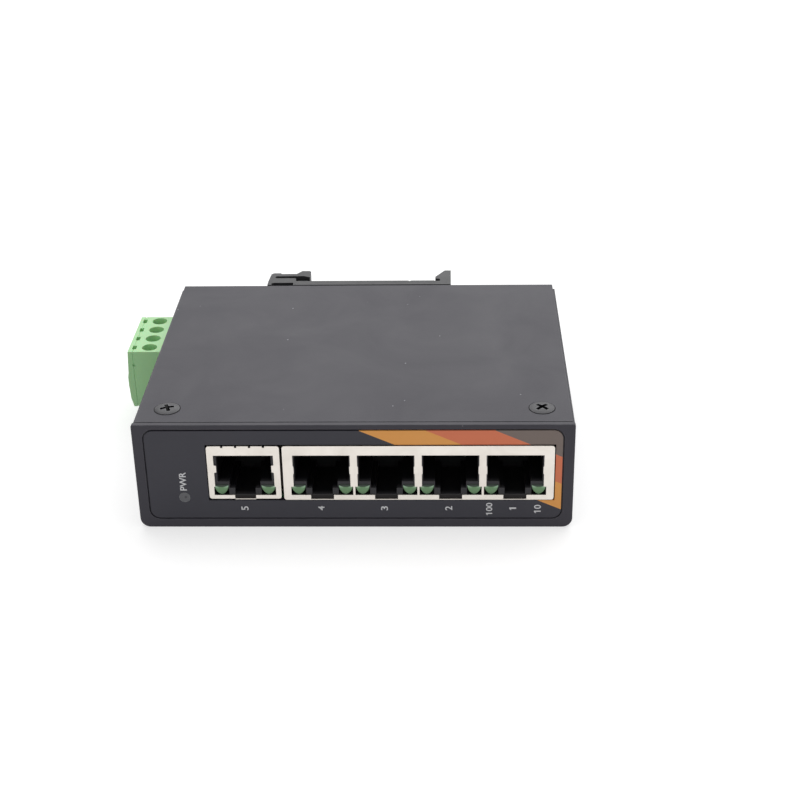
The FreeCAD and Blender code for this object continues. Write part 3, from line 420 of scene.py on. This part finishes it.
def lamp_green():
    """Diffused green resin, with a painted highlight in the upper corners, painted shade at the foot, and a
    painted dark shadow above its curved brim.
    """
    material, tree, shader = new_material("green_lamp_resin")
    grain = place_group(tree, COAT_GRAIN, Size=0.4 * MM, Softness=0.5)
    place = parts_of(tree, object_place(tree))
    aside = math_node(tree, "ABSOLUTE", place["X"])
    squared = math_node(tree, "MULTIPLY", aside, aside)
    brim = math_node(tree, "MULTIPLY_ADD", squared, BRIM_RISE, BRIM_LOW)
    over_brim = math_node(tree, "SUBTRACT", place["Z"], brim)
    # painted highlight in the upper corners, strongest just below the brim
    painted_highlight_outward = remap(tree, aside, 0.4 * MM, 1.25 * MM)
    painted_highlight_near_brim = remap(tree, over_brim, -0.6 * MM, -0.05 * MM)
    # painted shade at the foot, and painted shadow above the brim
    foot = remap(tree, place["Z"], -0.2 * MM, -1.0 * MM)
    shoulder = remap(tree, over_brim, -0.04 * MM, 0.06 * MM)
    colour = mix_colour(tree, grain["Mottle"], (0.14, 0.29, 0.128), (0.165, 0.33, 0.15))
    colour = laid_over(tree, colour, painted_highlight_outward, painted_highlight_near_brim, (0.42, 0.64, 0.45))
    colour = laid_over(tree, colour, foot, 0.7, (0.06, 0.15, 0.07))
    colour = mix_colour(tree, shoulder, colour, (0.005, 0.022, 0.008))
    surface(tree, shader, colour, grain["Mottle"], 0.18, 0.26)
    bump(tree, shader, grain["Height"], depth=0.006 * MM, strength=0.4)
    return material


def lamp_clear():
    """Smoky light pipe with the dark die of its lamp showing through, and edges paler where rubbed and as a
    painted highlight.
    """
    material, tree, shader = new_material("smoky_light_pipe")
    grain = place_group(tree, COAT_GRAIN, Size=0.4 * MM, Softness=0.5)
    wear_and_highlight = place_group(tree, WEAR_AND_HIGHLIGHT_EDGES, Reach=0.2 * MM, Patchiness=0.2)
    away = add_node(tree, "ShaderNodeVectorMath", {0: object_place(tree), 1: LAMP_DIE_PLACE},
                    operation="DISTANCE")
    die = remap(tree, away.outputs["Value"], 0.4 * MM, 0.15 * MM)
    colour = mix_colour(tree, grain["Mottle"], (0.1, 0.1, 0.112), (0.135, 0.135, 0.145))
    # edges paler where rubbed, and as a painted highlight
    colour = laid_over(tree, colour, wear_and_highlight["Mask"], 0.6, (0.42, 0.43, 0.44))
    colour = laid_over(tree, colour, die, 0.8, (0.02, 0.02, 0.024))
    surface(tree, shader, colour, grain["Mottle"], 0.2, 0.3)
    bump(tree, shader, grain["Height"], depth=0.006 * MM, strength=0.4)
    return material


def solder_mask():
    """Board laminate with the faint relief of buried tracks."""
    material, tree, shader = new_material("green_solder_mask")
    smudge = place_group(tree, HANDLING_SMUDGE, Size=10.0 * MM, Contrast=0.6)
    wires = {"Vector": object_place(tree), "Scale": 260.0, "Mortar Size": 0.12, "Brick Width": 1.4,
             "Row Height": 0.45}
    tracks = add_node(tree, "ShaderNodeTexBrick", wires).outputs["Fac"]
    colour = mix_colour(tree, smudge["Mask"], (0.012, 0.085, 0.035), (0.016, 0.105, 0.045))
    colour = laid_over(tree, colour, tracks, 0.6, (0.02, 0.16, 0.06))
    surface(tree, shader, colour, smudge["Mask"], 0.28, 0.4)
    bump(tree, shader, tracks, depth=0.03 * MM, strength=0.5)
    return material


def legend_ink():
    """Pale ink of the label's letters, with no relief of its own."""
    material, tree, shader = new_material("pale_legend_ink")
    grain = place_group(tree, COAT_GRAIN, Size=0.1 * MM, Softness=0.6)
    colour = mix_colour(tree, grain["Mottle"], (0.74, 0.74, 0.76), (0.82, 0.82, 0.83))
    surface(tree, shader, colour, grain["Mottle"], 0.45, 0.55)
    return material


FINISHES = {
    "charcoal_coat": powder_coat(),
    "label_film": printed_label(),
    "black_screw": black_oxide(),
    "zinc_screw": bare_metal("zinc_plate", (0.52, 0.53, 0.54), (0.68, 0.68, 0.67),
                             rough=0.32, streak_depth=0.012 * MM),
    "tin_plate": bare_metal("tin_plate", (0.71, 0.665, 0.61), (0.78, 0.735, 0.68),
                            rough=0.36, streak_depth=0.003 * MM, rolled=0.14 * MM),
    "black_plastic": jack_plastic(),
    "gold_contact": bare_metal("gold_contact_plate", (0.72, 0.5, 0.19), (0.86, 0.62, 0.26),
                               rough=0.24, streak_depth=0.006 * MM),
    "green_lens": lamp_green(),
    "clear_lens": lamp_clear(),
    "board_laminate": solder_mask(),
    "ferrite": moulded_plastic(
        "ferrite_core", (0.045, 0.045, 0.048), (0.07, 0.07, 0.072), edge_wear_and_highlight=(0.13, 0.13, 0.13),
        rough=0.7, grain_size=0.4 * MM, depth=0.04 * MM),
    "capacitor_sleeve": moulded_plastic(
        "capacitor_sleeve", (0.02, 0.021, 0.035), (0.03, 0.032, 0.05), edge_wear_and_highlight=(0.1, 0.1, 0.13),
        rough=0.3, grain_size=1.0 * MM, depth=0.01 * MM),
    "surge_coat": moulded_plastic(
        "dipped_surge_coat", (0.012, 0.06, 0.26), (0.02, 0.09, 0.33), edge_wear_and_highlight=(0.08, 0.18, 0.42),
        rough=0.35, grain_size=1.2 * MM, depth=0.04 * MM),
    "green_plastic": moulded_plastic(
        "green_terminal_plastic", (0.385, 0.71, 0.335), (0.425, 0.76, 0.375), edge_wear_and_highlight=(0.55, 0.82, 0.5),
        rough=0.42, grain_size=0.6 * MM, depth=0.015 * MM, speck_share=0.05, milky=0.12),
    "clip_plastic": moulded_plastic(
        "black_clip_plastic", (0.026, 0.026, 0.029), (0.034, 0.034, 0.037), edge_wear_and_highlight=(0.1, 0.1, 0.11),
        rough=0.46, grain_size=0.4 * MM, depth=0.02 * MM, gloss=0.35),
}
LEGEND_INK = legend_ink()
# near-black finish that paints the shadow in the countersinks round the lid's screws
SEAT_SHADOW_FINISH = moulded_plastic(
    "painted_countersink_shadow", (0.002, 0.002, 0.003), (0.003, 0.003, 0.004), edge_wear_and_highlight=(0.004, 0.004, 0.005),
    rough=0.7, grain_size=0.3 * MM, depth=0.01 * MM, speck_share=0.0, gloss=0.1)


# ---------------------------------------------------------------- CAD nodes: finish and rolled edges

EDGE_RADIUS = {
    "base_tray": 0.12 * MM, "lid": 0.12 * MM, "front_panel": 0.12 * MM, "lid_screws": 0.05 * MM,
    "din_clip": 0.15 * MM, "clip_screws": 0.05 * MM, "power_header": 0.1 * MM,
    "plug_housing": 0.12 * MM, "plug_entry_cover": 0.12 * MM,
}
JOIN_DISTANCE = 0.002 * MM      # corners nearer than this are one corner
FLAT_ANGLE = math.radians(1.0)  # faces that meet at less than this become one face
EDGE_ANGLE = math.radians(40)   # edges sharper than this are rolled


def soften_edges(node, radius):
    """Small rolled edges that catch the light, as bent sheet and moulded plastic have."""
    weld = node.modifiers.new("join_corners", "WELD")
    weld.merge_threshold = JOIN_DISTANCE
    flat = node.modifiers.new("merge_flat_faces", "DECIMATE")
    flat.decimate_type = "DISSOLVE"
    flat.angle_limit = FLAT_ANGLE
    edge = node.modifiers.new("rolled_edge", "BEVEL")
    edge.width = radius
    edge.segments = 2
    edge.limit_method = "ANGLE"
    edge.angle_limit = EDGE_ANGLE
    edge.harden_normals = False
    edge.use_clamp_overlap = True


for part in frame["record"]["subparts"]:
    node = nodes[part["node"]]
    node.data.materials.clear()
    node.data.materials.append(FINISHES[part["material_slot"]])
    if part["node"] in EDGE_RADIUS:
        soften_edges(node, EDGE_RADIUS[part["node"]])


# ---------------------------------------------------------------- own pieces of the case

def join_rings(shape, first, second):
    """Walls between two closed rings with the same number of corners."""
    for i in range(len(first)):
        j = (i + 1) % len(first)
        shape.faces.new((first[i], first[j], second[j], second[i]))


def closed_shape(rings):
    """A solid skin that runs through rings of corners and is closed at its first and last ring."""
    shape = bmesh.new()
    rings = [[shape.verts.new(corner) for corner in ring] for ring in rings]
    shape.faces.new(rings[0])
    for first, second in zip(rings, rings[1:]):
        join_rings(shape, first, second)
    shape.faces.new(list(reversed(rings[-1])))
    bmesh.ops.recalc_face_normals(shape, faces=shape.faces)
    return shape


def piece_from(name, shape, slot_name, finish=None, place=(0.0, 0.0, 0.0)):
    """A mesh piece of the case, in the finish of its slot or in a finish of its own."""
    mesh = bpy.data.meshes.new(name)
    shape.normal_update()
    shape.to_mesh(mesh)
    shape.free()
    mesh.materials.append(finish or FINISHES[slot_name])
    piece = placed(name, mesh)
    piece.location = place
    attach(piece, "case")
    return piece


# ---------------------------------------------------------------- lamp lenses and latch lips of the jacks

LAMP_REACH = 6.625 * MM         # from a port's middle to the outer side of its lamps
LAMP_X = 5.15 * MM
LENS_HALF_W = 1.5 * MM
LENS_BROW = 10.85 * MM          # top of the lens piece, whose part above the brim is painted dark as the shadow under the pocket's top
LENS_TOP = 10.34 * MM
LENS_MIDDLE = 9.5 * MM
LENS_FOOT = 8.42 * MM
LENS_BACK_Y = SHIELD_FRONT_Y + 1.65 * MM
LENS_STEPS = 9
FLANK_DRAW = 1.6                # powers of the curve by which the lens's flanks draw in to its foot
FLANK_ROUND = 0.6
# Rings of the lens from its rim to its middle: share of the outline, distance behind the shield's face.
LENS_RINGS = ((1.0, 0.22 * MM), (0.9, 0.12 * MM), (0.6, 0.06 * MM), (0.3, 0.04 * MM))
# Section of a latch lip in millimetres: distance behind the shield's face, height above its foot.
LIP_PROFILE = ((0.02, 0.0), (0.02, 0.1), (0.06, 0.16), (0.9, 0.16), (1.1, 0.22), (1.18, 0.16), (0.95, 0.0))


def port_middles(node, count):
    """X of the ports of a jack, from where its outermost lamps end."""
    low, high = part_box(node)
    first, last = low.x + LAMP_REACH, high.x - LAMP_REACH
    return [first + (last - first) * step / max(1, count - 1) for step in range(count)]


def lens_outline():
    """Bowl outline about the lens's middle: straight shoulder, flanks that draw in to a rounded foot."""
    flank = [(LENS_HALF_W, LENS_BROW - LENS_MIDDLE)]
    for step in range(LENS_STEPS + 1):
        share = step / LENS_STEPS
        half = LENS_HALF_W * (1.0 - share ** FLANK_DRAW) ** FLANK_ROUND
        flank.append((half, LENS_TOP - LENS_MIDDLE - share * (LENS_TOP - LENS_FOOT)))
    return flank + [(-x, z) for x, z in reversed(flank[:-1])]


def lamp_lens(name, x, node):
    """Domed lens in its pocket; its origin is its own middle, so that its colour follows its shape."""
    outline = lens_outline()
    rings = [[(px, LENS_BACK_Y, pz) for px, pz in outline]]
    for scale, behind in LENS_RINGS:
        rings.append([(px * scale, SHIELD_FRONT_Y + behind, pz * scale) for px, pz in outline])
    shape = closed_shape(rings)
    for face in shape.faces:
        face.smooth = face.calc_center_median().y < SHIELD_FRONT_Y + LENS_RINGS[0][1]
    piece = piece_from(name, shape, "green_lens", place=(x, 0.0, LENS_MIDDLE))
    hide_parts(node)


def latch_lip(name, x, half_w, foot):
    """Thin folded lip of the shield that closes the latch slot below."""
    section = [(SHIELD_FRONT_Y + y * MM, foot + z * MM) for y, z in LIP_PROFILE]
    rings = [[(end, y, z) for y, z in section] for end in (x - half_w, x + half_w)]
    piece_from(name, closed_shape(rings), "tin_plate")


def dress_jack(first_number, node_stem, count, slot_half_w, lip_drop):
    """Lenses and latch lips of a jack, whose ports are numbered down from its left.

    The lips hang below the foot of its shield by lip_drop.
    """
    lamps = node_stem + "_lamps"
    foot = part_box(node_stem + "_shield")[0].z - lip_drop
    for step, x in enumerate(port_middles(lamps, count)):
        port = f"port_{first_number - step}"
        lamp_lens(port + "_left_lens", x - LAMP_X, lamps)
        lamp_lens(port + "_right_lens", x + LAMP_X, lamps)
        latch_lip(port + "_latch_lip", x, slot_half_w, foot)


dress_jack(5, "single_jack", count=1, slot_half_w=2.3 * MM, lip_drop=0.17 * MM)
dress_jack(4, "quad_jack", count=4, slot_half_w=2.5 * MM, lip_drop=0.0)


# ---------------------------------------------------------------- painted shadow rings round the lid's screws

SCREW_HEAD_R = 2.75 * MM
SEAT_R = 2.92 * MM
SEAT_DEPTH = 0.02 * MM
SEAT_STEPS = 48


def screw_seat_shadows():
    """Narrow rings painted near black as the shadow in the lid's countersinks round the screw heads."""
    low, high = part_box("lid_screws")
    middle = (low.y + high.y) / 2
    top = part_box("lid")[1].z
    turns = [2 * math.pi * step / SEAT_STEPS for step in range(SEAT_STEPS)]
    shape = bmesh.new()
    for x in (low.x + SCREW_HEAD_R, high.x - SCREW_HEAD_R):
        rings = []
        for radius, z in ((SEAT_R, top + SEAT_DEPTH), (SCREW_HEAD_R - SEAT_DEPTH, top + 2 * SEAT_DEPTH)):
            rings.append([shape.verts.new((x + radius * math.cos(turn), middle + radius * math.sin(turn), z))
                          for turn in turns])
        join_rings(shape, *rings)
    piece_from("lid_screw_seat_shadows", shape, "charcoal_coat", SEAT_SHADOW_FINISH)


screw_seat_shadows()


# ---------------------------------------------------------------- legends printed on the label

LABEL_FACE_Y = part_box("front_label")[0].y
INK_THICK = 0.01 * MM
LEGEND_WEIGHT = 0.012           # strokes thickened by this share of the letter size
LEGEND_STRETCH = 1.4            # letters are at most this much wider than their own shape
# Flag of a numeral one, as shares of its height: stroke width, fall below the stem, run along the stem.
FLAG_WIDTH = 0.16
FLAG_DROP = 0.24
FLAG_RUN = 0.16
# Words that read upwards, in millimetres: left and right of the letters across X, foot and head up Z.
LEGENDS = {
    "power_legend": ("PWR", -38.10, -36.65, 9.41, 13.92),
    "port_5_legend": ("5", -24.98, -23.45, 4.36, 5.30),
    "port_4_legend": ("4", -8.06, -6.73, 4.30, 5.35),
    "port_3_legend": ("3", 5.72, 7.22, 4.33, 5.30),
    "port_2_legend": ("2", 19.79, 21.28, 4.33, 5.32),
    "port_1_legend": ("1", 33.80, 35.24, 4.45, 5.20),
    "fast_speed_legend": ("100", 28.71, 30.04, 3.38, 6.16),
    "slow_speed_legend": ("10", 39.18, 40.64, 3.93, 5.66),
}
# The legend whose first numeral is a one, and the lower side of that numeral's stem in millimetres.
FLAGS = {
    "port_1_flag": ("port_1_legend", 4.71),
    "fast_speed_flag": ("fast_speed_legend", 3.38),
    "slow_speed_flag": ("slow_speed_legend", 3.93),
}


def legend(name, words, left, right, foot, head):
    """Letters turned to read upwards, fitted between left and right and no longer than foot to head."""
    curve = bpy.data.curves.new(name, "FONT")
    curve.body = words
    curve.align_x = "CENTER"
    curve.align_y = "BOTTOM_BASELINE"
    curve.size = 1.0
    curve.resolution_u = 4
    piece = placed(name, curve)
    bpy.context.view_layer.update()
    corners = [Vector(corner) for corner in piece.bound_box]
    low = Vector([min(corner[i] for corner in corners) for i in range(3)])
    high = Vector([max(corner[i] for corner in corners) for i in range(3)])
    across = (right - left) / (high.y - low.y)
    along = min((head - foot) / (high.x - low.x), LEGEND_STRETCH * across)
    curve.extrude = INK_THICK
    curve.offset = LEGEND_WEIGHT
    turn = Matrix(((0, -1, 0), (0, 0, -1), (1, 0, 0))).to_4x4()
    centre = (low + high) / 2
    place = Matrix.Translation(((left + right) / 2, LABEL_FACE_Y - INK_THICK, (foot + head) / 2))
    scale = Matrix.Diagonal((along, across, 1.0, 1.0))
    piece.matrix_world = place @ turn @ scale @ Matrix.Translation((-centre.x, -centre.y, 0))
    curve.materials.append(LEGEND_INK)
    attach(piece, "case")


def flag_of_one(name, left, right, foot):
    """Slanted stroke at the head of a numeral one, whose stem's lower side lies at foot."""
    height = right - left
    width = FLAG_WIDTH * height
    tip_x = left + FLAG_RUN * height
    tip_z = foot - FLAG_DROP * height
    corners = [(left, foot), (left + width, foot), (tip_x + width, tip_z), (tip_x, tip_z)]
    rings = [[(x, y, z) for x, z in corners] for y in (LABEL_FACE_Y, LABEL_FACE_Y - 2 * INK_THICK)]
    piece_from(name, closed_shape(rings), "label_film", LEGEND_INK)


for name, (words, left, right, foot, head) in LEGENDS.items():
    legend(name, words, left * MM, right * MM, foot * MM, head * MM)
for name, (legend_name, foot) in FLAGS.items():
    left, right = LEGENDS[legend_name][1:3]
    flag_of_one(name, left * MM, right * MM, foot * MM)


# ---------------------------------------------------------------- floor, light and camera

FLOOR_HALF = 4.0
FLOOR_GAP = 0.05 * MM           # the floor lies this far below the case, so that no two faces share a plane
FLOOR_GREY = (0.62, 0.62, 0.62, 1.0)
FLOOR_GLOW = 0.56               # strength added to the floor for sight only
ROOM_LIGHT = 0.6                # strength of the room as light on the object
ROOM_SEEN = 1.0                 # strength of the room as it is seen
SUN_STRENGTH = 1.5
SUN_SPREAD = 70.0               # angles in degrees
SUN_TILT = -36.0
SUN_TURN = -12.0
CAMERA_PLACE = (0.020691, -0.326075, 0.182745)
CAMERA_HEADING = 2.058
CAMERA_DOWN = 27.64
CAMERA_ROLL = -1.101
CAMERA_LENS = 69.47             # millimetres, on a sensor 36 mm wide
CAMERA_SENSOR = 36.0


def white_for_sight(tree):
    """1 for rays that show the background: straight sight, mirrored sight and sight through clear parts."""
    path = add_node(tree, "ShaderNodeLightPath").outputs
    seen = math_node(tree, "MAXIMUM", path["Is Camera Ray"], path["Is Glossy Ray"])
    return math_node(tree, "MAXIMUM", seen, path["Is Transmission Ray"])


def studio_floor():
    """White paper that keeps the shadow and is clear when seen from below."""
    mesh = bpy.data.meshes.new("studio_floor")
    shape = bmesh.new()
    bmesh.ops.create_grid(shape, x_segments=4, y_segments=4, size=FLOOR_HALF)
    shape.to_mesh(mesh)
    shape.free()
    floor = placed("studio_floor", mesh)
    floor.location.z = cad_box[0].z - FLOOR_GAP
    material = bpy.data.materials.new("white_paper")
    tree = empty_tree(material)
    paper = add_node(tree, "ShaderNodeBsdfDiffuse", {"Color": FLOOR_GREY})
    added = math_node(tree, "MULTIPLY", white_for_sight(tree), FLOOR_GLOW)
    glow = add_node(tree, "ShaderNodeEmission", {"Strength": added})
    lit = add_node(tree, "ShaderNodeAddShader", {0: paper.outputs[0], 1: glow.outputs[0]})
    clear = add_node(tree, "ShaderNodeBsdfTransparent")
    below = add_node(tree, "ShaderNodeNewGeometry").outputs["Backfacing"]
    both = add_node(tree, "ShaderNodeMixShader", {0: below, 1: lit.outputs[0], 2: clear.outputs[0]})
    add_node(tree, "ShaderNodeOutputMaterial", {"Surface": both.outputs[0]})
    mesh.materials.append(material)


def studio_light():
    """An even white room, and a broad soft sun from above and behind."""
    world = bpy.data.worlds.new("white_room")
    tree = empty_tree(world)
    strength = remap(tree, white_for_sight(tree), 0, 1, ROOM_LIGHT, ROOM_SEEN)
    room = add_node(tree, "ShaderNodeBackground", {"Color": (1.0, 1.0, 1.0, 1.0), "Strength": strength})
    add_node(tree, "ShaderNodeOutputWorld", {"Surface": room.outputs[0]})
    bpy.context.scene.world = world
    lamp = bpy.data.lights.new("rear_overhead_softbox", "SUN")
    lamp.energy = SUN_STRENGTH
    lamp.angle = math.radians(SUN_SPREAD)
    holder = placed("rear_overhead_softbox", lamp)
    holder.rotation_euler = (math.radians(SUN_TILT), 0.0, math.radians(SUN_TURN))


def camera():
    """The camera, turned by its roll, then raised from straight down, then set to its heading."""
    lens = bpy.data.cameras.new("camera")
    lens.lens = CAMERA_LENS
    lens.sensor_width = CAMERA_SENSOR
    lens.clip_start = 0.01
    lens.clip_end = 20.0
    holder = placed("camera", lens)
    holder.matrix_world = (Matrix.Translation(CAMERA_PLACE)
                           @ Matrix.Rotation(math.radians(CAMERA_HEADING), 4, "Z")
                           @ Matrix.Rotation(math.radians(90.0 - CAMERA_DOWN), 4, "X")
                           @ Matrix.Rotation(math.radians(CAMERA_ROLL), 4, "Z"))
    bpy.context.scene.camera = holder


studio_floor()
studio_light()
camera()
bpy.context.scene.view_settings.view_transform = "Standard"
